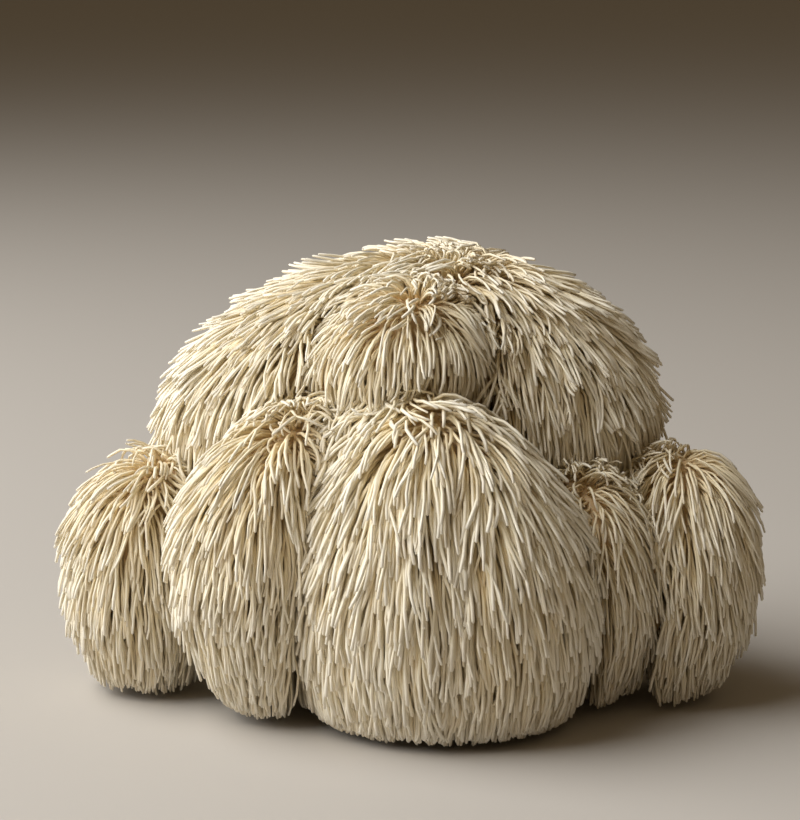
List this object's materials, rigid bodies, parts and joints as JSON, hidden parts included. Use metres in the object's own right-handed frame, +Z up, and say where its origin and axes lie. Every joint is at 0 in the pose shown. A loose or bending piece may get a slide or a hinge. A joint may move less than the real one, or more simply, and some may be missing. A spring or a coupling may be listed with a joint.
{
  "type": "lions mane mushroom",
  "caption": "Whole lion's mane mushroom: rounded lobes covered in long hanging cream spines, standing upright on the flat cut where it was harvested.",
  "frame": {"origin": "centre of the object's bounding box in plan, on the table plane at the bottom of the harvest cut", "axes": "+X runs along the width, to the right as seen from the front, +Y points to the back, +Z points up; the front lobe faces -Y"},
  "size_m": [0.19, 0.142, 0.1195],
  "materials": {
    "spines": "soft matt fungal spines, ivory at their tips and warmer towards their roots",
    "flesh": "moist matt fungal flesh, tan to ochre, seen only between the spines and at the cut"
  },
  "bodies": {
    "root": {"front_lobe": "spines", "front_left_lobe": "spines", "front_right_lobe": "spines", "left_lobe": "spines", "right_lobe": "spines", "brow_lobe": "spines", "crown_lobe": "spines"}
  },
  "joints": []
}
